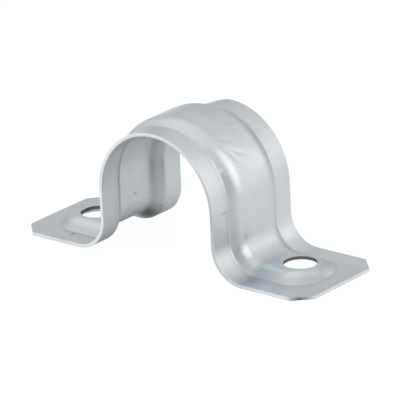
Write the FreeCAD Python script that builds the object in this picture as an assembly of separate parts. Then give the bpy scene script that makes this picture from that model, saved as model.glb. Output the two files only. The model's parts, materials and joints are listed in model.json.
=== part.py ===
"""Two-hole conduit strap: one pressed strip of thin steel sheet, in millimetres.

The strip lies flat on two feet, bends up into two short legs and arches over the
conduit. A raised rib runs along its middle, from round one screw hole, over the
arch, to round the other. It is shallower at the top of the arch.

Frame: X along the strap, Y along the conduit's axis, +Z up. The origin is on the
face that the feet rest on, in the middle between them.
"""
import FreeCAD, Part
import math
import os

V = FreeCAD.Vector

# What the strap holds
conduit_diameter = 17.9     # outside diameter of the tube
saddle_clearance = 0.05     # gap all round between the tube and the lips

# The strip and its rib, across the width
sheet = 0.45                # thickness of the sheet
lip_width = 3.1             # flat margin on each side of the rib
ramp_run = 1.6              # width of the slope on each side of the rib
rib_top_width = 6.5         # flat top of the rib
rib_height = 1.25           # how far the rib stands out of the lips, on the legs and feet
rib_crown_height = 0.75     # the same at the top of the arch, where the bending flattens it
shoulder_radius = 1.2       # inside radius of the creases between the slopes and the top

# The strip along its length
leg_length = 4.15           # straight part of each leg
rib_bend_radius = 2.95      # bend between leg and foot, on the rib's upper face
hole_diameter = 4.4         # screw hole through the rib
hole_setback = 3.4          # from the end of the bend to the hole's centre
hole_land = 0.25            # metal between the hole and the slope at the rib's end
rib_end_flat = 2.1          # straight part across the rounded end of the rib
foot_margin = 2.7           # flat foot beyond the end of the rib
foot_chamfer = 2.3          # 45 degree cut on each corner of a foot
chamfer_rounding = 0.6      # rounding where that cut meets the sides

# Sizes that follow from those
lip_inner_radius = conduit_diameter / 2 + saddle_clearance
lip_outer_radius = lip_inner_radius + sheet
lip_bend_radius = rib_bend_radius + rib_height
rib_half_top = rib_top_width / 2
rib_half_foot = rib_half_top + ramp_run
half_width = rib_half_foot + lip_width
rib_half_edge = rib_half_foot + sheet           # on flat sheet, clear of the crease at the slope's foot

bend_height = sheet + lip_bend_radius       # axis of each bend, above the feet's underside
bend_x = lip_outer_radius + lip_bend_radius
axis_height = bend_height + leg_length      # axis of the arch and of the conduit
hole_x = bend_x + hole_setback
rib_top_end = hole_x + hole_diameter / 2 + hole_land
rib_end_x = rib_top_end - rib_half_top + rib_end_flat / 2   # centre of the rib's end corners
rib_end_reach = rib_half_edge - rib_end_flat / 2            # from there to flat sheet
foot_end = rib_top_end + ramp_run + foot_margin
top_height = axis_height + lip_outer_radius + rib_height


def rounded_run(corners, rounding):
    """Edges along corners, with an arc of the given radius, or none, at each inner corner."""
    edges = []
    start = corners[0]
    for before, corner, after, radius in zip(corners, corners[1:], corners[2:], rounding):
        if not radius:
            edges.append(Part.LineSegment(start, corner).toShape())
            start = corner
            continue
        to_before = (before - corner).normalize()
        to_after = (after - corner).normalize()
        half_angle = to_before.getAngle(to_after) / 2
        reach = radius / math.tan(half_angle)
        inward = (to_before + to_after).normalize()
        middle = corner + inward * (radius / math.sin(half_angle) - radius)
        arc_start = corner + to_before * reach
        arc_end = corner + to_after * reach
        edges.append(Part.LineSegment(start, arc_start).toShape())
        edges.append(Part.Arc(arc_start, middle, arc_end).toShape())
        start = arc_end
    edges.append(Part.LineSegment(start, corners[-1]).toShape())
    return edges


def face_line(place, level, rise, from_edge, to_edge):
    """Edges of one face of the sheet, in a section from from_edge to to_edge across it.

    place turns (across, out) into a point. level is the depth below the outer face, and
    rise is how far the rib stands out. A negative from_edge takes in both slopes, and one
    on the rib's flat top only the slope towards to_edge. The creases of the outer and the
    inner face share their centres, so the rib is narrower inside, and the crease at a
    slope's foot, which is sharp outside, has the sheet's thickness as its radius inside.
    """
    narrower = level * math.tan(math.atan2(rise, ramp_run) / 2)
    root = (rib_half_foot - narrower, -level)
    shoulder = (rib_half_top - narrower, rise - level)
    points = [(to_edge, -level), root, shoulder]
    rounding = [level, shoulder_radius + sheet - level]
    if from_edge < 0:
        points += [(-across, out) for across, out in (shoulder, root)] + [(from_edge, -level)]
        rounding += rounding[::-1]
    else:
        points.append((from_edge, rise - level))
    return rounded_run([place(across, out) for across, out in points], rounding)


def section_edges(place, rise, from_edge, to_edge):
    """Edges round the sheet's section: the outer face, the inner face and the two cut ends."""
    outer = face_line(place, 0, rise, from_edge, to_edge)
    inner = face_line(place, sheet, rise, from_edge, to_edge)
    cuts = [
        Part.LineSegment(outer[0].firstVertex().Point, inner[0].firstVertex().Point),
        Part.LineSegment(outer[-1].lastVertex().Point, inner[-1].lastVertex().Point),
    ]
    return outer + inner + [cut.toShape() for cut in cuts]


def flat_face(edges):
    """Flat face inside a closed run of edges, which come in any order."""
    return Part.Face(Part.Wire(Part.__sortEdges__(edges)))


def on_leg(across, out):
    """Point on the level of the arch's axis, where the arch meets the +X leg."""
    return V(lip_outer_radius + out, across, axis_height)


def on_crown(across, out):
    """Point on the upright plane through the top of the arch."""
    return V(0, across, axis_height + lip_outer_radius + out)


def on_foot(across, out):
    """Point on the upright plane where the bend meets the +X foot."""
    return V(bend_x, across, sheet + out)


def at_corner(across, out):
    """Point on the upright plane through an end corner of the rib, moved to y = 0."""
    return V(rib_end_x + across - rib_end_flat / 2, 0, sheet + out)


def whole_section(place):
    """Face of the strap's whole section, with the rib at its full height."""
    return flat_face(section_edges(place, rib_height, -half_width, half_width))


def arch_lip(side):
    """Plain lip of the arch, which holds the conduit, on the side of y = +1 or -1."""
    corners = [
        on_leg(side * rib_half_edge, 0),
        on_leg(side * half_width, 0),
        on_leg(side * half_width, -sheet),
        on_leg(side * rib_half_edge, -sheet),
    ]
    section = Part.Face(Part.makePolygon(corners + corners[:1]))
    return section.revolve(V(0, 0, axis_height), V(0, -1, 0), 90)


def quarter_arch(leg_edge, crown_edge):
    """Surface between an edge of the leg's section and the like edge of the crown's.

    Each point of the edge runs along a quarter of an ellipse, upright where it leaves the
    leg and level at the crown. Where the two edges lie as far out, that is a circle.
    """
    leg_line = leg_edge.toNurbs().Edge1.Curve
    crown_line = crown_edge.toNurbs().Edge1.Curve
    poles = []
    for low, high in zip(leg_line.getPoles(), crown_line.getPoles()):
        poles.append([low, V(low.x, (low.y + high.y) / 2, high.z), high])
    weights = []
    for low, high in zip(leg_line.getWeights(), crown_line.getWeights()):
        weights.append([low, math.sqrt(low * high / 2), high])
    surface = Part.BSplineSurface()
    surface.buildFromPolesMultsKnots(
        poles,
        leg_line.getMultiplicities(),
        (3, 3),
        leg_line.getKnots(),
        (0, 1),
        False,
        False,
        leg_line.Degree,
        2,
        weights,
    )
    return surface.toShape()


def arch_rib():
    """The rib over the arch's +X half, from the leg's full height to the crown's."""
    on_the_leg = section_edges(on_leg, rib_height, -rib_half_edge, rib_half_edge)
    on_the_crown = section_edges(on_crown, rib_crown_height, -rib_half_edge, rib_half_edge)
    patches = [quarter_arch(low, high) for low, high in zip(on_the_leg, on_the_crown)]
    faces = patches[:-2] + [Part.Face(patch.OuterWire) for patch in patches[-2:]]
    faces += [flat_face(on_the_leg), flat_face(on_the_crown)]
    shell = Part.Shell(faces)
    shell.sewShape()
    return Part.makeSolid(shell)


def leg():
    """Straight ribbed strip below the arch."""
    return whole_section(on_leg).extrude(V(0, 0, -leg_length))


def bend():
    """Quarter turn of the ribbed strip from the leg out to the foot."""
    return whole_section(on_foot).revolve(V(bend_x, 0, bend_height), V(0, 1, 0), 90)


def foot_start():
    """Ribbed strip from the bend to the corners of the rib's end."""
    return whole_section(on_foot).extrude(V(rib_end_x - bend_x, 0, 0))


def rib_end():
    """The rib's rounded end: a slope across it and a quarter turn of it at each corner."""
    section = flat_face(section_edges(at_corner, rib_height, rib_end_flat / 2, rib_half_edge))
    section.translate(V(0, rib_end_flat / 2, 0))
    solids = [section.extrude(V(0, -rib_end_flat, 0))]
    solids.append(section.revolve(V(rib_end_x, rib_end_flat / 2, 0), V(0, 0, 1), 90))
    section.translate(V(0, -rib_end_flat, 0))
    solids.append(section.revolve(V(rib_end_x, -rib_end_flat / 2, 0), V(0, 0, -1), 90))
    return solids


def foot_plate():
    """Flat sheet round the rib's end, out to the end of the foot."""
    plate = Part.makeBox(foot_end - rib_end_x, 2 * half_width, sheet, V(rib_end_x, -half_width, 0))
    corners = [
        V(0, -rib_half_edge, 0),
        V(rib_end_x + rib_end_reach, -rib_half_edge, 0),
        V(rib_end_x + rib_end_reach, rib_half_edge, 0),
        V(0, rib_half_edge, 0),
    ]
    edges = rounded_run(corners, [rib_end_reach, rib_end_reach])
    edges.append(Part.LineSegment(corners[-1], corners[0]).toShape())
    return plate.cut(flat_face(edges).extrude(V(0, 0, sheet)))


def outline_block():
    """Upright block with the strap's plan: a strip with its four corners cut and eased."""
    quarter = [
        V(0, half_width, 0),
        V(foot_end - foot_chamfer, half_width, 0),
        V(foot_end, half_width - foot_chamfer, 0),
        V(foot_end, 0, 0),
    ]
    edges = rounded_run(quarter, [chamfer_rounding, chamfer_rounding])
    half = edges + [edge.mirror(V(0, 0, 0), V(0, 1, 0)) for edge in edges]
    whole = half + [edge.mirror(V(0, 0, 0), V(1, 0, 0)) for edge in half]
    return flat_face(whole).extrude(V(0, 0, top_height))


def screw_hole():
    """Cutter for the screw hole of the +X foot."""
    return Part.makeCylinder(hole_diameter / 2, top_height, V(hole_x, 0, 0))


def strap():
    """The whole pressed strip: its +X half, mirrored and joined."""
    pieces = [arch_lip(1), arch_lip(-1), leg(), bend(), foot_start(), foot_plate()] + rib_end()
    half = arch_rib().fuse(pieces).cut(screw_hole())
    whole = half.fuse(half.mirror(V(0, 0, 0), V(1, 0, 0)))
    return whole.common(outline_block()).removeSplitter()


def main():
    os.makedirs("parts", exist_ok=True)
    solids = strap().Solids
    solid = solids[0]
    solid.exportStep("parts/strap.step")
    box = solid.optimalBoundingBox()
    print(len(solids), "solid, valid", solid.isValid(), round(solid.Volume, 2), "mm3")
    print("box", [round(v, 3) for v in (box.XMin, box.YMin, box.ZMin, box.XMax, box.YMax, box.ZMax)])
    print("axis height", axis_height, "hole x", hole_x, "saddle radius", lip_inner_radius)


main()
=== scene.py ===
"""A two-hole conduit strap pressed from zinc-plated sheet, on a pale floor under soft light.

The strap is made as a press shop makes it: a flat blank is cut and punched, one set of
rules bends it into the ribbed strap, and the sheet then gets its thickness and its edges.
"""

import json
import logging
import math
from dataclasses import dataclass
from enum import Enum

import bmesh
import bpy
from mathutils import Matrix, Vector


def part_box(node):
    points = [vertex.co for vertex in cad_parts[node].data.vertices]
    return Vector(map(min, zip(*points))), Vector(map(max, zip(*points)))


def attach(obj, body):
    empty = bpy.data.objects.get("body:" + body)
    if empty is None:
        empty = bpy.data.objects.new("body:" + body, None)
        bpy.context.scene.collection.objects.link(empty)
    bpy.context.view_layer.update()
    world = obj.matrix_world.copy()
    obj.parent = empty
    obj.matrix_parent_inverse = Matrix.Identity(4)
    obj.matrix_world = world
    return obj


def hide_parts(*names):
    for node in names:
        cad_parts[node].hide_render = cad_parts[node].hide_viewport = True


logging.basicConfig(level=logging.INFO, format="%(name)s: %(message)s")
log = logging.getLogger("conduit_strap")

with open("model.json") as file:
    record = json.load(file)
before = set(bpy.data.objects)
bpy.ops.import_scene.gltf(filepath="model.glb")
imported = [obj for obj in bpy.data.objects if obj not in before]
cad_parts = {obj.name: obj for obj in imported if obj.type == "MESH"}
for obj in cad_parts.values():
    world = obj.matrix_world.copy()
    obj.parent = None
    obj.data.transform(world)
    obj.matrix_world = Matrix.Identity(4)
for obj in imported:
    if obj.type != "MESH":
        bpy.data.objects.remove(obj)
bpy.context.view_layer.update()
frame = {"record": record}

MM = 0.001
QUARTER_TURN = math.pi / 2
NODE = "strap"
BODY = "root"
SLOT = "zinc_plated_steel"
FLAT_PLACE = "blank"
# Attribute that carries the painted shade in the rib's creases.
CREASE_SHADE = "crease"


class Side(Enum):
    """The strap's two ends along X."""

    LEFT = -1
    RIGHT = 1


class Rim(Enum):
    """The strap's two long edges across Y."""

    NEAR = -1
    FAR = 1


class Face(Enum):
    """The sheet's faces, by the number of their material on the piece."""

    OUTSIDE = 0
    INSIDE = 1
    CUT = 2


class Term:
    """A number inside a node tree. Plain sums with it become Math nodes."""

    def __init__(self, tree: bpy.types.NodeTree, socket: bpy.types.NodeSocket) -> None:
        """Keeps the tree and the socket that carries the number."""
        self.tree = tree
        self.socket = socket

    @classmethod
    def constant(cls, tree: bpy.types.NodeTree, value: float) -> "Term":
        """Adds a number that stays as it is given.

        Args:
            tree: the node tree to build in.
            value: the number.

        Returns:
            The number inside the tree.
        """
        node = tree.nodes.new("ShaderNodeValue")
        node.outputs[0].default_value = value
        return cls(tree, node.outputs[0])

    def math(self, operation: str, *others: "Term | float") -> "Term":
        """Adds one Math node that takes this number first.

        Args:
            operation: name of the Math node's operation.
            others: the node's other inputs, each a Term or a plain number.

        Returns:
            The node's result.
        """
        node = self.tree.nodes.new("ShaderNodeMath")
        node.operation = operation
        for slot, value in zip(node.inputs, (self, *others)):
            if isinstance(value, Term):
                self.tree.links.new(value.socket, slot)
            else:
                slot.default_value = value
        return Term(self.tree, node.outputs[0])

    def __add__(self, other: "Term | float") -> "Term":
        """Sum."""
        return self.math("ADD", other)

    def __sub__(self, other: "Term | float") -> "Term":
        """Difference."""
        return self.math("SUBTRACT", other)

    def __mul__(self, other: "Term | float") -> "Term":
        """Product."""
        return self.math("MULTIPLY", other)

    def __truediv__(self, other: "Term | float") -> "Term":
        """Quotient."""
        return self.math("DIVIDE", other)

    def below(self, limit: "Term | float") -> "Term":
        """The number, or the limit where that is lower."""
        return self.math("MINIMUM", limit)

    def above(self, limit: "Term | float") -> "Term":
        """The number, or the limit where that is higher."""
        return self.math("MAXIMUM", limit)

    def between(self, low: "Term | float", high: "Term | float") -> "Term":
        """The number held between two limits."""
        return self.above(low).below(high)


def split(flat: bpy.types.NodeSocket) -> tuple[Term, Term]:
    """Takes a place on the flat blank apart.

    Args:
        flat: socket that carries the place.

    Returns:
        The place along the blank and the place across it.
    """
    tree = flat.id_data
    parts = tree.nodes.new("ShaderNodeSeparateXYZ")
    tree.links.new(flat, parts.inputs[0])
    return Term(tree, parts.outputs[0]), Term(tree, parts.outputs[1])


def hump(first: Term, *others: Term) -> Term:
    """A round bell over one distance or more.

    Args:
        first: distance in one direction, over its reach.
        others: distances in other directions, over theirs.

    Returns:
        One in the middle, falling smoothly to nought.
    """
    square = first * first
    for other in others:
        square = square + other * other
    return (square * -1.0).math("EXPONENT")


def heading(turn: float, lift: float) -> Vector:
    """Direction out from the strap.

    Args:
        turn: angle round from +X, in degrees.
        lift: angle above the floor, in degrees.

    Returns:
        The direction, of length one.
    """
    turned, lifted = math.radians(turn), math.radians(lift)
    level = math.cos(lifted)
    return Vector((math.cos(turned) * level, math.sin(turned) * level, math.sin(lifted)))


def spread(start: float, end: float, step: float) -> list[float]:
    """Evenly spaced places from start up to, and without, end.

    Args:
        start: first place.
        end: place to stop before.
        step: greatest spacing.

    Returns:
        The places in order.
    """
    rounding = 1e-6
    count = max(1, math.ceil((end - start) / step - rounding))
    return [start + (end - start) * index / count for index in range(count)]


@dataclass(frozen=True)
class StrapSizes:
    """Sizes of the finished strap, in metres. What the frame knows is read from it.

    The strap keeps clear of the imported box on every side, so that faint waves stay inside it.
    """

    half_length: float
    half_width: float
    saddle_radius: float
    axis_height: float
    hole_x: float
    hole_radius: float
    clear: float = 0.003 * MM
    sheet: float = 0.45 * MM
    lip_width: float = 3.1 * MM
    slope_run: float = 1.6 * MM
    rib_height: float = 1.25 * MM
    crown_rib_height: float = 0.75 * MM
    lip_bend_radius: float = 4.2 * MM
    shoulder_radius: float = 2.6 * MM
    root_radius: float = 0.3 * MM
    rib_end_flat: float = 2.1 * MM
    foot_margin: float = 2.7 * MM
    chamfer: float = 2.3 * MM
    chamfer_rounding: float = 0.6 * MM

    @classmethod
    def from_frame(cls) -> "StrapSizes":
        """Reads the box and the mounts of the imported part.

        Returns:
            The sizes, with the box, the saddle and the screw holes as packed.
        """
        mounts = {mount["name"]: mount for mount in frame["record"]["mounts"]}
        saddle = mounts["conduit_saddle"]
        hole = mounts["right_screw_hole"]
        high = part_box(NODE)[1]
        return cls(
            half_length=high.x - cls.clear,
            half_width=high.y - cls.clear,
            saddle_radius=saddle["dims"]["r_mm"] * MM,
            axis_height=saddle["pos_m"][2] + cls.clear,
            hole_x=hole["pos_m"][0],
            hole_radius=hole["dims"]["r_mm"] * MM,
        )

    @property
    def lip_radius(self) -> float:
        """Radius of the arch on the outer face of its lips."""
        return self.saddle_radius + self.sheet

    @property
    def leg_length(self) -> float:
        """Straight part of a leg."""
        return self.axis_height - self.clear - self.sheet - self.lip_bend_radius

    @property
    def arch_run(self) -> float:
        """Length of a quarter of the arch, along the outer face of a lip."""
        return self.lip_radius * QUARTER_TURN

    @property
    def bend_run(self) -> float:
        """Length of a bend, along the upper face of a lip."""
        return self.lip_bend_radius * QUARTER_TURN

    @property
    def rib_half_width(self) -> float:
        """Half the width of the rib's top."""
        return self.half_width - self.lip_width - self.slope_run

    @property
    def rib_corner(self) -> float:
        """Radius of the corners at the ends of the rib's top."""
        return self.rib_half_width - self.rib_end_flat / 2

    @property
    def foot_along(self) -> float:
        """Distance of each foot's start from the middle of the blank."""
        return self.arch_run + self.leg_length + self.bend_run

    def flat_distance(self, x: float) -> float:
        """Distance along the flat blank of a place on a foot.

        Args:
            x: the place along the finished strap.

        Returns:
            The distance from the middle of the blank.
        """
        return self.foot_along + x - self.lip_radius - self.lip_bend_radius

    @property
    def blank_half_length(self) -> float:
        """Half the length of the flat blank."""
        return self.flat_distance(self.half_length)

    @property
    def hole_along(self) -> float:
        """Distance of each screw hole's centre from the middle of the blank."""
        return self.flat_distance(self.hole_x)

    @property
    def rib_half_length(self) -> float:
        """Half the length of the rib's top, along the blank."""
        return self.blank_half_length - self.foot_margin - self.slope_run


@dataclass
class Blank:
    """The flat, cut and punched strip: its outer face, as a mesh in the XY plane.

    Where the corners are cut, the columns of the mesh move in, apart from those on the rib
    and on the kept share of its slopes.
    """

    sizes: StrapSizes
    coarse: float = 0.26 * MM
    fine: float = 0.11 * MM
    hole_margin: float = 0.5 * MM
    hole_rings: int = 5
    rounding_steps: int = 4
    kept_slope: float = 0.8

    def outline(self, along: float) -> float:
        """Half the width of the blank.

        Args:
            along: distance from the middle of the blank, not below zero.

        Returns:
            Half the width there, with the cut corners and their rounding.
        """
        size = self.sizes
        radius = size.chamfer_rounding
        reach = radius * math.tan(math.pi / 8)
        end = size.blank_half_length
        corner = end - size.chamfer
        if along <= corner - reach:
            return size.half_width
        first = along - (corner - reach)
        if first <= radius * math.sin(math.pi / 4):
            return size.half_width - radius + math.sqrt(radius**2 - first**2)
        last = along - (end - radius)
        if last <= radius * math.cos(math.pi / 4):
            return size.half_width - (along - corner)
        half_flat = size.half_width - size.chamfer - reach
        return half_flat + math.sqrt(max(radius**2 - last**2, 0.0))

    def rows(self) -> list[float]:
        """Divides the blank along its length.

        Returns:
            Places of the mesh's rows along one half of the blank, from its middle.
        """
        size = self.sizes
        hole_reach = size.hole_radius + self.hole_margin
        first_hole_row = size.hole_along - hole_reach
        last_hole_row = size.hole_along + hole_reach
        rib_end = size.blank_half_length - size.foot_margin + 2 * size.root_radius
        end = size.blank_half_length
        angles = [math.pi / 4 * step / self.rounding_steps for step in range(self.rounding_steps + 1)]
        turn = [size.chamfer_rounding * (1 - math.cos(angle)) for angle in angles]
        places = spread(0.0, first_hole_row, self.coarse)
        places += spread(first_hole_row, last_hole_row, 2 * self.fine)
        places += spread(last_hole_row, rib_end, self.fine)
        places += spread(rib_end, end - turn[-1], self.coarse)
        return places + [end - step for step in reversed(turn)]

    def columns(self) -> list[float]:
        """Divides the blank across its width.

        Returns:
            Places of the mesh's columns, from one long edge to the other.
        """
        size = self.sizes
        plateau = size.hole_radius + self.hole_margin
        flat = size.rib_half_width + size.slope_run + size.root_radius
        half = spread(0.0, plateau, 2 * self.fine)
        half += spread(plateau, flat, self.fine)
        half += spread(flat, size.half_width, self.coarse) + [size.half_width]
        return [-place for place in reversed(half[1:])] + half

    def across(self, column: float, along: float) -> float:
        """Moves a column in where the blank's corners are cut.

        Args:
            column: the column's place on the full width.
            along: distance from the middle of the blank.

        Returns:
            The place across the blank.
        """
        size = self.sizes
        kept = size.rib_half_width + size.slope_run * self.kept_slope
        past = abs(column) - kept
        if past <= 0:
            return column
        share = (self.outline(along) - kept) / (size.half_width - kept)
        return math.copysign(kept + past * share, column)

    def punch(self, mesh: bmesh.types.BMesh, side: Side) -> None:
        """Opens the square round a screw hole and closes it again up to the round hole.

        Args:
            mesh: the blank's mesh.
            side: which end of the strap.
        """
        size = self.sizes
        centre = Vector((side.value * size.hole_along, 0.0, 0.0))
        reach = size.hole_radius + self.hole_margin
        slack = self.fine * 0.1

        def inside(point: Vector) -> bool:
            """Whether a face's middle lies in the square."""
            return abs(point.x - centre.x) < reach - slack and abs(point.y) < reach - slack

        doomed = [face for face in mesh.faces if inside(face.calc_center_median())]
        bmesh.ops.delete(mesh, geom=doomed, context="FACES")
        border = [
            vert
            for vert in mesh.verts
            if vert.is_boundary and max(abs(vert.co.x - centre.x), abs(vert.co.y)) < reach + slack
        ]
        border.sort(key=lambda vert: math.atan2(vert.co.y, vert.co.x - centre.x))
        outer = border
        for ring in range(1, self.hole_rings + 1):
            share = ring / self.hole_rings
            inner = []
            for vert in border:
                on_circle = (vert.co - centre).normalized() * size.hole_radius + centre
                inner.append(mesh.verts.new(vert.co.lerp(on_circle, share)))
            for index, vert in enumerate(outer):
                after = (index + 1) % len(outer)
                mesh.faces.new((vert, outer[after], inner[after], inner[index]))
            outer = inner

    def build(self, name: str) -> bpy.types.Object:
        """Makes the blank as an object.

        Args:
            name: the object's name.

        Returns:
            The object, linked to the scene, with its flat places kept as an attribute.
        """
        half = self.rows()
        places = [-place for place in reversed(half[1:])] + half
        columns = self.columns()
        mesh = bmesh.new()
        grid = []
        for place in places:
            grid.append([mesh.verts.new((place, self.across(column, abs(place)), 0.0)) for column in columns])
        for row, after in zip(grid, grid[1:]):
            for index in range(len(columns) - 1):
                mesh.faces.new((row[index], after[index], after[index + 1], row[index + 1]))
        for side in Side:
            self.punch(mesh, side)
        bmesh.ops.recalc_face_normals(mesh, faces=mesh.faces)
        if sum(face.normal.z for face in mesh.faces) < 0:
            bmesh.ops.reverse_faces(mesh, faces=mesh.faces)
        for face in mesh.faces:
            face.smooth = True
        data = bpy.data.meshes.new(name)
        mesh.to_mesh(data)
        mesh.free()
        flat = data.attributes.new(FLAT_PLACE, "FLOAT_VECTOR", "POINT")
        flat.data.foreach_set("vector", [number for vert in data.vertices for number in vert.co])
        blank = bpy.data.objects.new(name, data)
        bpy.context.scene.collection.objects.link(blank)
        return blank


@dataclass(frozen=True)
class Dent:
    """A shallow low place in the sheet, with its middle on the flat blank, in metres."""

    along: float
    across: float
    reach_along: float
    reach_across: float
    depth: float


@dataclass(frozen=True)
class Wrinkle:
    """A fine straight furrow in the sheet, between two places on the flat blank, in metres."""

    start: tuple[float, float]
    end: tuple[float, float]
    reach: float
    depth: float


@dataclass
class Press:
    """The rules that turn the flat blank into the strap, as a Geometry Nodes tree.

    The tree also stores a painted shade in the creases down the rib's slopes. Each slope has a
    line of painted shade, with its middle at a share of the slope's run and with its own
    reach. The painted shade leaves out the crown.
    """

    sizes: StrapSizes
    dents: tuple[Dent, ...] = ()
    wrinkles: tuple[Wrinkle, ...] = ()
    wrinkle_taper: float = 2.2
    waviness: float = 0.02 * MM
    wave_length: float = 5.0 * MM
    wave_detail: float = 1.5
    # Where the painted crease shade lies on each slope, and where it fades off the crown.
    near_shade_middle: float = 0.75
    far_shade_middle: float = 0.25
    near_shade_reach: float = 0.65 * MM
    far_shade_reach: float = 0.95 * MM
    unshaded_crown: float = 5.5 * MM
    crown_fade: float = 2.0 * MM

    def inputs(self) -> dict[str, float]:
        """Lists the tree's inputs.

        Returns:
            The value of each input, by its name.
        """
        size = self.sizes
        return {
            "Lip Radius": size.lip_radius,
            "Axis Height": size.axis_height,
            "Leg Length": size.leg_length,
            "Bend Radius": size.lip_bend_radius,
            "Rib Half Length": size.rib_half_length,
            "Rib Half Width": size.rib_half_width,
            "Rib Corner": size.rib_corner,
            "Slope Run": size.slope_run,
            "Shoulder Radius": size.shoulder_radius,
            "Root Radius": size.root_radius,
            "Rib Height": size.rib_height,
            "Crown Rib Height": size.crown_rib_height,
            "Waviness": self.waviness,
        }

    def rise(self, given: dict[str, Term], distance: Term, height: Term) -> Term:
        """How far the outer face stands out of the lips.

        Args:
            given: the tree's inputs.
            distance: distance out from the edge of the rib's top.
            height: full height of the rib.

        Returns:
            The rise, with round creases at the shoulder and at the root.
        """
        slope = height.math("ARCTAN2", given["Slope Run"])
        shorten = (slope * 0.5).math("TANGENT")
        sine = slope.math("SINE")
        cosine = slope.math("COSINE")
        shoulder = given["Shoulder Radius"]
        root = given["Root Radius"]
        past_flat = (distance + shoulder * shorten).between(0.0, shoulder * sine)
        shoulder_drop = shoulder - (shoulder * shoulder - past_flat * past_flat).math("SQRT")
        slope_start = shoulder * sine - shoulder * shorten
        foot = given["Slope Run"] + root * shorten
        slope_length = foot - root * sine - slope_start
        slope_drop = (distance - slope_start).between(0.0, slope_length) * sine / cosine
        before_foot = (foot - distance).between(0.0, root * sine)
        root_drop = (root * root - before_foot * before_foot).math("SQRT") - root * cosine
        return height - shoulder_drop - slope_drop - root_drop

    def rib_distance(self, given: dict[str, Term], along: Term, across: Term) -> Term:
        """Distance out from the rounded rectangle that is the rib's top.

        Args:
            given: the tree's inputs.
            along: distance from the middle of the blank, not below zero.
            across: distance from its centre line, not below zero.

        Returns:
            The distance, below zero inside the rectangle.
        """
        corner = given["Rib Corner"]
        past_length = along - (given["Rib Half Length"] - corner)
        past_width = across - (given["Rib Half Width"] - corner)
        out_length = past_length.above(0.0)
        out_width = past_width.above(0.0)
        outside = (out_length * out_length + out_width * out_width).math("SQRT")
        inside = past_length.above(past_width).below(0.0)
        return outside + inside - corner

    def unevenness(self, given: dict[str, Term], flat: bpy.types.NodeSocket) -> Term:
        """How far the sheet lies below its true place: faint waves, dents and wrinkles.

        Args:
            given: the tree's inputs.
            flat: the places on the flat blank.

        Returns:
            The depth, never below zero.
        """
        tree = flat.id_data
        noise = tree.nodes.new("ShaderNodeTexNoise")
        noise.inputs["Scale"].default_value = 1.0 / self.wave_length
        noise.inputs["Detail"].default_value = self.wave_detail
        tree.links.new(flat, noise.inputs["Vector"])
        along, across = split(flat)
        off_feet = (along.math("ABSOLUTE") - self.sizes.foot_along) / -self.wave_length
        depth = Term(tree, noise.outputs[0]) * given["Waviness"] * off_feet.between(0.0, 1.0)
        for dent in self.dents:
            far_along = (along - dent.along) / dent.reach_along
            far_across = (across - dent.across) / dent.reach_across
            depth = depth + hump(far_along, far_across) * dent.depth
        for wrinkle in self.wrinkles:
            depth = depth + self.furrow(wrinkle, along, across) * wrinkle.depth
        return depth

    def furrow(self, wrinkle: Wrinkle, along: Term, across: Term) -> Term:
        """How deep a wrinkle is at each place.

        Args:
            wrinkle: the wrinkle.
            along: place along the blank.
            across: place across it.

        Returns:
            One on the wrinkle's line, falling off to its sides and towards its ends.
        """
        run = Vector(wrinkle.end) - Vector(wrinkle.start)
        ahead = run.normalized()
        from_along, from_across = along - wrinkle.start[0], across - wrinkle.start[1]
        travel = (from_along * ahead.x + from_across * ahead.y) / run.length
        aside = (from_across * ahead.x - from_along * ahead.y) / wrinkle.reach
        return hump(aside, (travel - 0.5) * self.wrinkle_taper)

    def crease_shading(self, along: Term, across: Term, distance: Term) -> Term:
        """Painted shade in the creases down the rib's slopes.

        Args:
            along: distance from the middle of the blank, not below zero.
            across: place across the blank.
            distance: distance out from the edge of the rib's top.

        Returns:
            One on the lines of painted shade, falling to nought beside them and at the crown.
        """
        rim = across.math("SIGN")

        def by_rim(near: float, far: float) -> Term:
            """One number on the strap's near side and another on its far side."""
            return rim * ((far - near) / 2) + (far + near) / 2

        middle = by_rim(self.near_shade_middle, self.far_shade_middle) * self.sizes.slope_run
        aside = (distance - middle) / by_rim(self.near_shade_reach, self.far_shade_reach)
        off_crown = (along - self.unshaded_crown) / self.crown_fade
        return hump(aside) * off_crown.between(0.0, 1.0)

    def folded(self, given: dict[str, Term], along: Term) -> tuple[Term, Term, Term]:
        """Runs the lips over the arch, down the leg, round the bend and out on the foot.

        Args:
            given: the tree's inputs.
            along: distance from the middle of the blank, not below zero.

        Returns:
            Place of the lips' outer face along the strap and upwards, and their tilt.
        """
        radius, leg, bend = given["Lip Radius"], given["Leg Length"], given["Bend Radius"]
        arch_end = radius * QUARTER_TURN
        leg_end = arch_end + leg
        bend_run = bend * QUARTER_TURN
        arch_turn = along.below(arch_end) / radius
        down = (along - arch_end).between(0.0, leg)
        bend_turn = (along - leg_end).between(0.0, bend_run) / bend
        out = (along - leg_end - bend_run).above(0.0)
        x = radius * arch_turn.math("SINE") + bend - bend * bend_turn.math("COSINE") + out
        arch_z = given["Axis Height"] + radius * arch_turn.math("COSINE")
        z = arch_z - down - bend * bend_turn.math("SINE")
        return x, z, arch_turn - bend_turn

    def pressed(self, given: dict[str, Term], flat: bpy.types.NodeSocket) -> tuple[Term, Term, Term, Term]:
        """Works out where each place of the blank ends up.

        Args:
            given: the tree's inputs.
            flat: the places on the flat blank.

        Returns:
            The X, Y and Z of the outer face, and the painted crease shade there.
        """
        place, across = split(flat)
        along = place.math("ABSOLUTE")
        lip_x, lip_z, tilt = self.folded(given, along)
        distance = self.rib_distance(given, along, across.math("ABSOLUTE"))
        sunk = self.unevenness(given, flat)
        leg_rise = self.rise(given, distance, given["Rib Height"])
        crown_rise = self.rise(given, distance, given["Crown Rib Height"])
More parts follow.
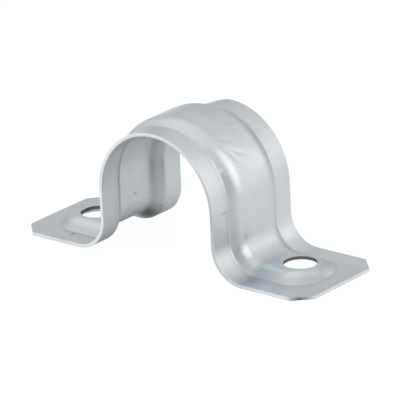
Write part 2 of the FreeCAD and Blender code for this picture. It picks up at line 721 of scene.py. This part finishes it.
        # Each line along the rib runs over the arch as a half ellipse, flatter at the crown.
        on_arch = along.math("LESS_THAN", given["Lip Radius"] * QUARTER_TURN)
        rise_up = leg_rise + (crown_rise - leg_rise) * on_arch - sunk
        rise_out = leg_rise - sunk
        x = place.math("SIGN") * (lip_x + rise_out * tilt.math("SINE"))
        z = lip_z + rise_up * tilt.math("COSINE")
        return x, across, z, self.crease_shading(along, across, distance)

    def tree(self, coat: bpy.types.Material) -> bpy.types.NodeTree:
        """Builds the tree.

        Args:
            coat: the material that the pressed sheet gets.

        Returns:
            The node tree.
        """
        tree = bpy.data.node_groups.new("press", "GeometryNodeTree")
        tree.interface.new_socket("Geometry", in_out="INPUT", socket_type="NodeSocketGeometry")
        for name in self.inputs():
            tree.interface.new_socket(name, in_out="INPUT", socket_type="NodeSocketFloat")
        tree.interface.new_socket("Geometry", in_out="OUTPUT", socket_type="NodeSocketGeometry")
        source = tree.nodes.new("NodeGroupInput")
        given = {name: Term(tree, source.outputs[name]) for name in self.inputs()}
        flat = tree.nodes.new("GeometryNodeInputPosition").outputs[0]
        *place, crease_shading = self.pressed(given, flat)

        keep = tree.nodes.new("GeometryNodeStoreNamedAttribute")
        keep.data_type = "FLOAT"
        keep.domain = "POINT"
        keep.inputs["Name"].default_value = CREASE_SHADE
        tree.links.new(crease_shading.socket, keep.inputs["Value"])
        tree.links.new(source.outputs["Geometry"], keep.inputs["Geometry"])
        joined = tree.nodes.new("ShaderNodeCombineXYZ")
        for value, slot in zip(place, joined.inputs):
            tree.links.new(value.socket, slot)
        move = tree.nodes.new("GeometryNodeSetPosition")
        tree.links.new(keep.outputs[0], move.inputs["Geometry"])
        tree.links.new(joined.outputs[0], move.inputs["Position"])
        realize = tree.nodes.new("GeometryNodeRealizeInstances")
        tree.links.new(move.outputs[0], realize.inputs[0])
        dress = tree.nodes.new("GeometryNodeSetMaterial")
        dress.inputs["Material"].default_value = coat
        tree.links.new(realize.outputs[0], dress.inputs["Geometry"])
        result = tree.nodes.new("NodeGroupOutput")
        tree.links.new(dress.outputs[0], result.inputs[0])
        return tree

    def form(self, blank: bpy.types.Object, coat: bpy.types.Material) -> bpy.types.Object:
        """Presses the blank.

        Args:
            blank: the flat blank.
            coat: the material of the sheet.

        Returns:
            The pressed outer face as a plain mesh object of the same name.
        """
        tree = self.tree(coat)
        modifier = blank.modifiers.new("press", "NODES")
        modifier.node_group = tree
        values = self.inputs()
        for item in tree.interface.items_tree:
            if item.in_out == "INPUT" and item.name in values:
                modifier[item.identifier] = values[item.name]
        evaluated = blank.evaluated_get(bpy.context.evaluated_depsgraph_get())
        data = bpy.data.meshes.new_from_object(evaluated)
        blank.modifiers.remove(modifier)
        name = blank.name
        bpy.data.objects.remove(blank)
        data.name = name
        pressed = bpy.data.objects.new(name, data)
        bpy.context.scene.collection.objects.link(pressed)
        return pressed


@dataclass(frozen=True)
class Mark:
    """A stain, or a patch of painted shade or painted highlight, with its middle on the flat blank, in
    metres.

    Its darkness is the share of brightness lost in its middle, below zero where it is painted brighter.
    """

    along: float
    across: float
    reach_along: float
    reach_across: float
    darkness: float


@dataclass(frozen=True)
class ZincPlate:
    """Bright zinc on pressed steel: a satin grey metal with streaks, grain, stains, and painted shade and
    highlights.

    Broad clouds of paler zinc lie over fine streaks along the sheet and still finer grain.
    """

    name: str
    colour: tuple[float, float, float] = (0.6, 0.64, 0.67)
    pale: tuple[float, float, float] = (0.67, 0.695, 0.71)
    roughness: tuple[float, float] = (0.27, 0.37)
    streaks: float = 0.1
    grain: float = 0.1
    # Share of brightness taken off by the painted shade in the rib's creases.
    crease_shade_strength: float = 0.12
    marks: tuple[Mark, ...] = ()
    cloud_cell: tuple[float, float] = (6.0 * MM, 3.0 * MM)
    streak_cell: tuple[float, float] = (9.0 * MM, 0.16 * MM)
    grain_cell: tuple[float, float] = (0.25 * MM, 0.2 * MM)
    paleness: float = 0.4
    cloud_contrast: float = 1.8
    streak_contrast: float = 6.0
    cloud_share_of_roughness: float = 0.6
    bump_strength: float = 0.5
    bump_depth: float = 0.03 * MM

    def stored(self, tree: bpy.types.NodeTree, name: str) -> bpy.types.Node:
        """Reads what the mesh keeps under a name.

        Args:
            tree: the material's nodes.
            name: the attribute's name.

        Returns:
            The Attribute node.
        """
        node = tree.nodes.new("ShaderNodeAttribute")
        node.attribute_name = name
        return node

    def noise(self, tree: bpy.types.NodeTree, cell: tuple[float, float], detail: float) -> Term:
        """Random patches that follow the sheet.

        Args:
            tree: the material's nodes.
            cell: size of a patch along and across the sheet.
            detail: levels of finer patches.

        Returns:
            A number round one half.
        """
        stretch = tree.nodes.new("ShaderNodeMapping")
        stretch.inputs["Scale"].default_value = (1.0 / cell[0], 1.0 / cell[1], 1.0 / cell[1])
        patches = tree.nodes.new("ShaderNodeTexNoise")
        patches.inputs["Scale"].default_value = 1.0
        patches.inputs["Detail"].default_value = detail
        tree.links.new(self.stored(tree, FLAT_PLACE).outputs["Vector"], stretch.inputs["Vector"])
        tree.links.new(stretch.outputs[0], patches.inputs["Vector"])
        return Term(tree, patches.outputs[0])

    def stains_and_painted_light(self, tree: bpy.types.NodeTree) -> Term:
        """Share of its brightness that the metal keeps under its stains and its painted shade and highlights.

        Args:
            tree: the material's nodes.

        Returns:
            One on unmarked metal, less on a stain or painted shade, and more on a painted highlight.
        """
        along, across = split(self.stored(tree, FLAT_PLACE).outputs["Vector"])
        kept = Term.constant(tree, 1.0)
        for mark in self.marks:
            far_along = (along - mark.along) / mark.reach_along
            far_across = (across - mark.across) / mark.reach_across
            kept = kept - hump(far_along, far_across) * mark.darkness
        return kept

    def material(self) -> bpy.types.Material:
        """Builds the node material.

        Returns:
            The material.
        """
        made = bpy.data.materials.new(self.name)
        made.use_nodes = True
        tree = made.node_tree
        shader = tree.nodes["Principled BSDF"]
        shader.inputs["Metallic"].default_value = 1.0
        # Painted shade in the rib's creases, taken off the base colour below.
        painted_crease_shade = Term(tree, self.stored(tree, CREASE_SHADE).outputs["Fac"]) * self.crease_shade_strength
        clouds = self.noise(tree, self.cloud_cell, detail=4.0)
        lines = self.noise(tree, self.streak_cell, detail=3.0)
        pits = self.noise(tree, self.grain_cell, detail=2.0)

        tint = tree.nodes.new("ShaderNodeMix")
        tint.data_type = "RGBA"
        tint.inputs["A"].default_value = (*self.colour, 1.0)
        tint.inputs["B"].default_value = (*self.pale, 1.0)
        cloudy = (clouds - 0.5) * self.cloud_contrast
        streaky = (lines - 0.5) * (self.streaks * self.streak_contrast)
        paleness = (cloudy + streaky + self.paleness).between(0.0, 1.0)
        tree.links.new(paleness.socket, tint.inputs["Factor"])
        shade = tree.nodes.new("ShaderNodeVectorMath")
        shade.operation = "SCALE"
        tree.links.new(tint.outputs["Result"], shade.inputs[0])
        tree.links.new((self.stains_and_painted_light(tree) - painted_crease_shade).socket, shade.inputs["Scale"])
        tree.links.new(shade.outputs[0], shader.inputs["Base Color"])

        smooth, matt = self.roughness
        share = self.cloud_share_of_roughness
        roughness = (clouds * share + pits * (1.0 - share)) * (matt - smooth) + smooth
        tree.links.new(roughness.socket, shader.inputs["Roughness"])
        relief = lines * self.streaks + pits * self.grain
        bump = tree.nodes.new("ShaderNodeBump")
        bump.inputs["Strength"].default_value = self.bump_strength
        bump.inputs["Distance"].default_value = self.bump_depth
        tree.links.new(relief.socket, bump.inputs["Height"])
        tree.links.new(bump.outputs[0], shader.inputs["Normal"])
        return made


@dataclass
class PressedStrap:
    """The whole strap, which is one sheet."""

    sizes: StrapSizes
    edge_rounding: float = 0.06 * MM
    edge_steps: int = 2
    edge_angle: float = 60.0

    def dents(self) -> tuple[Dent, ...]:
        """The low places that pressing and handling left in the sheet."""
        far = Rim.FAR.value * self.sizes.half_width
        return (Dent(-3.6 * MM, far, 2.4 * MM, 2.2 * MM, 0.4 * MM),)

    def wrinkles(self) -> tuple[Wrinkle, ...]:
        """The furrows where the sheet gathers over the arch.

        Returns:
            Those on the rib's top and on the far lip.
        """
        reach = 0.27 * MM
        return (
            Wrinkle((7.0 * MM, -2.8 * MM), (9.9 * MM, -1.3 * MM), reach, 0.11 * MM),
            Wrinkle((7.5 * MM, -2.0 * MM), (9.2 * MM, 0.6 * MM), reach, 0.12 * MM),
            Wrinkle((5.8 * MM, -2.6 * MM), (6.7 * MM, -0.3 * MM), reach, 0.09 * MM),
            Wrinkle((4.4 * MM, 1.2 * MM), (4.7 * MM, 2.6 * MM), reach, 0.09 * MM),
            Wrinkle((5.2 * MM, 4.9 * MM), (5.5 * MM, 6.2 * MM), reach, 0.11 * MM),
            Wrinkle((6.4 * MM, 5.4 * MM), (6.9 * MM, 6.4 * MM), reach, 0.08 * MM),
        )

    def outer_marks(self) -> tuple[Mark, ...]:
        """Marks on the outer face.

        Returns:
            Stains and some painted shade, small painted highlights, and broad patches of painted highlight
            and painted shade.
        """
        # The first three are small stains. The next three darken the near edge of the left foot, the near
        # ramp round the right bend as painted shade, and the near lip where the right foot starts.
        stains_and_shade = (
            Mark(4.5 * MM, 1.9 * MM, 0.25 * MM, 0.4 * MM, 0.12),
            Mark(15.0 * MM, -5.7 * MM, 0.18 * MM, 0.6 * MM, 0.25),
            Mark(-28.5 * MM, -5.7 * MM, 0.25 * MM, 0.45 * MM, 0.4),
            Mark(-27.5 * MM, -5.2 * MM, 2.5 * MM, 0.35 * MM, 0.12),
            Mark(20.5 * MM, -4.2 * MM, 3.5 * MM, 0.8 * MM, 0.12),
            Mark(25.6 * MM, -6.2 * MM, 1.2 * MM, 1.6 * MM, 0.12),
        )
        # Small painted highlights on the near slope over the arch and round the right bend, where the metal
        # mirrors bright light.
        painted_highlights = (
            Mark(9.6 * MM, -4.5 * MM, 0.25 * MM, 0.2 * MM, -0.3),
            Mark(20.3 * MM, -4.8 * MM, 0.5 * MM, 0.4 * MM, -0.15),
            Mark(21.2 * MM, -3.7 * MM, 0.4 * MM, 0.4 * MM, -0.15),
            Mark(21.9 * MM, 6.0 * MM, 0.7 * MM, 0.8 * MM, -0.12),
        )
        # Broad patches of painted highlight and painted shade that lift or lower the metal's reflected tone:
        # painted shade where the darkness is above nought, painted highlight where it is below.
        patches = (
            Mark(1.7 * MM, 1.6 * MM, 0.9 * MM, 1.0 * MM, 0.08),
            Mark(24.6 * MM, -1.5 * MM, 0.9 * MM, 0.9 * MM, 0.08),
            Mark(22.6 * MM, 0.5 * MM, 2.0 * MM, 2.4 * MM, 0.06),
            Mark(9.9 * MM, 2.2 * MM, 1.4 * MM, 1.1 * MM, -0.08),
            Mark(29.5 * MM, 6.6 * MM, 4.0 * MM, 1.7 * MM, -0.08),
            Mark(10.0 * MM, -6.6 * MM, 3.0 * MM, 1.4 * MM, -0.05),
            Mark(29.5 * MM, -4.2 * MM, 3.5 * MM, 1.0 * MM, -0.06),
            Mark(-3.5 * MM, -0.5 * MM, 4.0 * MM, 2.4 * MM, -0.05),
        )
        return stains_and_shade + painted_highlights + patches

    def inner_marks(self) -> tuple[Mark, ...]:
        """Marks on the inner face.

        Returns:
            Stains, and painted shade under the arch and inside the left bend.
        """
        full_width = 25.0 * MM
        return (
            Mark(-18.0 * MM, 0.0, 0.18 * MM, 0.35 * MM, 0.35),
            Mark(-21.0 * MM, 4.7 * MM, 0.2 * MM, 0.25 * MM, 0.2),
            Mark(-10.3 * MM, 1.0 * MM, 0.3 * MM, 0.3 * MM, 0.25),
            # Painted shade across the full width under the arch and inside the left bend.
            Mark(-10.0 * MM, 0.0, 5.0 * MM, full_width, 0.24),
            Mark(-23.2 * MM, 0.0, 2.1 * MM, full_width, 0.68),
        )

    def cut_marks(self) -> tuple[Mark, ...]:
        """Marks on the cut edges.

        Returns:
            Painted shade on the walls of both holes, a darker near rim by the right leg and a dark corner.
        """
        size = self.sizes
        over_hole = size.hole_radius * 2.0
        near_rim = Rim.NEAR.value * size.half_width
        cut_corner = size.blank_half_length - size.chamfer / 2
        # The walls of the holes are painted dark, as the shade inside them.
        hole_walls = [Mark(side.value * size.hole_along, 0.0, over_hole, over_hole, 1.0) for side in Side]
        return (
            *hole_walls,
            Mark(15.0 * MM, near_rim, 8.0 * MM, 2.0 * MM, 0.35),
            Mark(cut_corner, near_rim, 1.1 * MM, 2.0 * MM, 0.9),
        )

    def finishes(self) -> dict[Face, ZincPlate]:
        """Chooses the zinc of each face.

        Returns:
            The finish of each face of the sheet.
        """
        return {
            Face.OUTSIDE: ZincPlate(SLOT, crease_shade_strength=0.19, marks=self.outer_marks()),
            # The inside is a darker copy of the zinc: painted shade for the faces under the arch.
            Face.INSIDE: ZincPlate(
                "zinc_inside",
                colour=(0.55, 0.59, 0.615),
                pale=(0.63, 0.655, 0.67),
                streaks=0.2,
                crease_shade_strength=0.2,
                marks=self.inner_marks(),
            ),
            Face.CUT: ZincPlate(
                "zinc_cut_edge",
                colour=(0.72, 0.75, 0.77),
                pale=(0.9, 0.91, 0.92),
                roughness=(0.42, 0.55),
                marks=self.cut_marks(),
            ),
        }

    def build(self) -> bpy.types.Object:
        """Cuts, presses and dresses the sheet.

        Returns:
            The finished piece.
        """
        coats = {face: finish.material() for face, finish in self.finishes().items()}
        blank = Blank(self.sizes).build("strap_sheet")
        press = Press(self.sizes, self.dents(), self.wrinkles())
        piece = press.form(blank, coats[Face.OUTSIDE])
        for face in (Face.INSIDE, Face.CUT):
            piece.data.materials.append(coats[face])
        wall = piece.modifiers.new("wall", "SOLIDIFY")
        wall.thickness = self.sizes.sheet
        wall.offset = -1.0
        wall.use_even_offset = True
        wall.material_offset = Face.INSIDE.value
        wall.material_offset_rim = Face.CUT.value
        ease = piece.modifiers.new("eased_edges", "BEVEL")
        ease.width = self.edge_rounding
        ease.segments = self.edge_steps
        ease.limit_method = "ANGLE"
        ease.angle_limit = math.radians(self.edge_angle)
        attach(piece, BODY)
        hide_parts(NODE)
        return piece


@dataclass(frozen=True)
class Glow:
    """A broad bright or dim patch of the studio's walls, as the strap's metal mirrors it."""

    turn: float
    lift: float
    narrowness: float
    gain: float


@dataclass(frozen=True)
class SoftBox:
    """A soft lamp that faces the strap, with its size in metres and its power in watts."""

    name: str
    turn: float
    lift: float
    size: tuple[float, float]
    power: float


@dataclass
class Studio:
    """The floor, the lamps, the surroundings and the camera.

    The mirrored shares say how white the strap's metal sees the floor and the walls.
    """

    azimuth: float = 40.18
    elevation: float = 20.43
    roll: float = 2.73
    distance: float = 619.2 * MM
    lens: float = 428.75
    sensor: float = 36.0
    aim_right: float = 0.62 * MM
    aim_up: float = 6.32 * MM
    floor_size: float = 3.0
    floor_colour: tuple[float, float, float] = (0.9, 0.9, 0.9)
    floor_white: float = 0.92
    floor_strength: float = 1.05
    floor_mirrored: float = 0.55
    walls: float = 0.64
    walls_mirrored: float = 0.35
    lamp_distance: float = 1.0
    soft_boxes: tuple[SoftBox, ...] = (
        SoftBox("right_box", turn=3.0, lift=32.0, size=(0.8, 0.95), power=1.5),
        SoftBox("front_box", turn=-130.0, lift=10.0, size=(0.8, 0.4), power=0.8),
    )
    glows: tuple[Glow, ...] = (
        Glow(turn=180.0, lift=55.0, narrowness=3.0, gain=0.48),
        Glow(turn=80.0, lift=50.0, narrowness=4.0, gain=0.02),
        Glow(turn=-35.0, lift=15.0, narrowness=5.0, gain=-0.15),
        Glow(turn=130.0, lift=12.0, narrowness=6.0, gain=-0.32),
        Glow(turn=5.0, lift=28.0, narrowness=14.0, gain=0.3),
        Glow(turn=52.0, lift=18.0, narrowness=8.0, gain=0.62),
        Glow(turn=-40.0, lift=64.0, narrowness=14.0, gain=0.3),
    )

    def axes(self) -> tuple[Vector, Vector, Vector]:
        """Turns the camera's angles into directions.

        Returns:
            Its right, up and backward directions, before its roll.
        """
        right = heading(self.azimuth, 0.0)
        back = heading(self.azimuth - 90.0, self.elevation)
        return right, back.cross(right), back

    def camera(self) -> None:
        """Makes the camera and gives it to the scene."""
        right, up, back = self.axes()
        place = right * self.aim_right + up * self.aim_up + back * self.distance
        roll = math.radians(self.roll)
        across = right * math.cos(roll) - up * math.sin(roll)
        upward = right * math.sin(roll) + up * math.cos(roll)
        data = bpy.data.cameras.new("camera")
        data.lens = self.lens
        data.sensor_width = self.sensor
        data.clip_start = 10 * MM
        data.clip_end = 10.0
        camera = bpy.data.objects.new("camera", data)
        turned = Matrix((across, upward, back)).transposed().to_4x4()
        turned.translation = place
        camera.matrix_world = turned
        bpy.context.scene.collection.objects.link(camera)
        bpy.context.scene.camera = camera

    def seen_white(self, tree: bpy.types.NodeTree, mirrored: float) -> Term:
        """Share of white that a ray sees in place of the lit floor or wall.

        Args:
            tree: the node tree to build in.
            mirrored: the share for a ray that the metal mirrors.

        Returns:
            One for the camera and through glass, less in a mirror, nought for plain light.
        """
        path = tree.nodes.new("ShaderNodeLightPath")
        camera = Term(tree, path.outputs["Is Camera Ray"])
        glass = Term(tree, path.outputs["Is Transmission Ray"])
        mirror = Term(tree, path.outputs["Is Glossy Ray"]) * mirrored
        return camera.above(glass).above(mirror)

    def floor_finish(self) -> bpy.types.Material:
        """Builds the floor's material.

        Returns:
            A matt pale material that looks almost white and keeps soft shadows.
        """
        made = bpy.data.materials.new("pale_floor")
        made.use_nodes = True
        tree = made.node_tree
        shader = tree.nodes["Principled BSDF"]
        shader.inputs["Base Color"].default_value = (*self.floor_colour, 1.0)
        shader.inputs["Roughness"].default_value = 1.0
        shader.inputs["Specular IOR Level"].default_value = 0.0
        white = tree.nodes.new("ShaderNodeEmission")
        white.inputs["Strength"].default_value = self.floor_strength
        mix = tree.nodes.new("ShaderNodeMixShader")
        share = self.seen_white(tree, self.floor_mirrored) * self.floor_white
        tree.links.new(share.socket, mix.inputs[0])
        tree.links.new(shader.outputs[0], mix.inputs[1])
        tree.links.new(white.outputs[0], mix.inputs[2])
        tree.links.new(mix.outputs[0], tree.nodes["Material Output"].inputs["Surface"])
        return made

    def floor(self) -> None:
        """Lays the pale floor, which takes the strap's soft shadow."""
        half = self.floor_size / 2
        data = bpy.data.meshes.new("floor")
        corners = [(-half, -half, 0.0), (half, -half, 0.0), (half, half, 0.0), (-half, half, 0.0)]
        data.from_pydata(corners, [], [(0, 1, 2, 3)])
        data.materials.append(self.floor_finish())
        floor = bpy.data.objects.new("floor", data)
        bpy.context.scene.collection.objects.link(floor)

    def world(self) -> None:
        """Lights the scene from soft walls and shows the camera a white background."""
        world = bpy.data.worlds.new("studio")
        world.use_nodes = True
        tree = world.node_tree
        background = tree.nodes["Background"]
        background.inputs["Color"].default_value = (1.0, 1.0, 1.0, 1.0)
        direction = tree.nodes.new("ShaderNodeTexCoord").outputs["Generated"]
        white = self.seen_white(tree, self.walls_mirrored)
        level = Term.constant(tree, self.walls)
        for glow in self.glows:
            facing = tree.nodes.new("ShaderNodeVectorMath")
            facing.operation = "DOT_PRODUCT"
            tree.links.new(direction, facing.inputs[0])
            facing.inputs[1].default_value = heading(glow.turn, glow.lift)
            near = Term(tree, facing.outputs["Value"]).above(0.0).math("POWER", glow.narrowness)
            level = level + near * glow.gain
        strength = white + (white * -1.0 + 1.0) * level
        tree.links.new(strength.socket, background.inputs["Strength"])
        bpy.context.scene.world = world

    def lamp(self, box: SoftBox) -> None:
        """Hangs a soft box that faces the strap.

        Args:
            box: the soft box.
        """
        data = bpy.data.lights.new(box.name, "AREA")
        data.shape = "RECTANGLE"
        data.size, data.size_y = box.size
        data.energy = box.power
        toward = heading(box.turn, box.lift)
        lamp = bpy.data.objects.new(box.name, data)
        lamp.location = toward * self.lamp_distance
        lamp.rotation_euler = toward.to_track_quat("Z", "Y").to_euler()
        bpy.context.scene.collection.objects.link(lamp)

    def build(self) -> None:
        """Sets up everything round the strap."""
        self.camera()
        self.floor()
        self.world()
        for box in self.soft_boxes:
            self.lamp(box)
        bpy.context.scene.view_settings.view_transform = "Standard"


def main() -> None:
    """Builds the studio and the strap."""
    Studio().build()
    log.info("studio: camera, floor, surroundings and lamps")
    sizes = StrapSizes.from_frame()
    piece = PressedStrap(sizes).build()
    log.info("%s: %d faces before its wall", piece.name, len(piece.data.polygons))


if __name__ == "__main__":
    main()
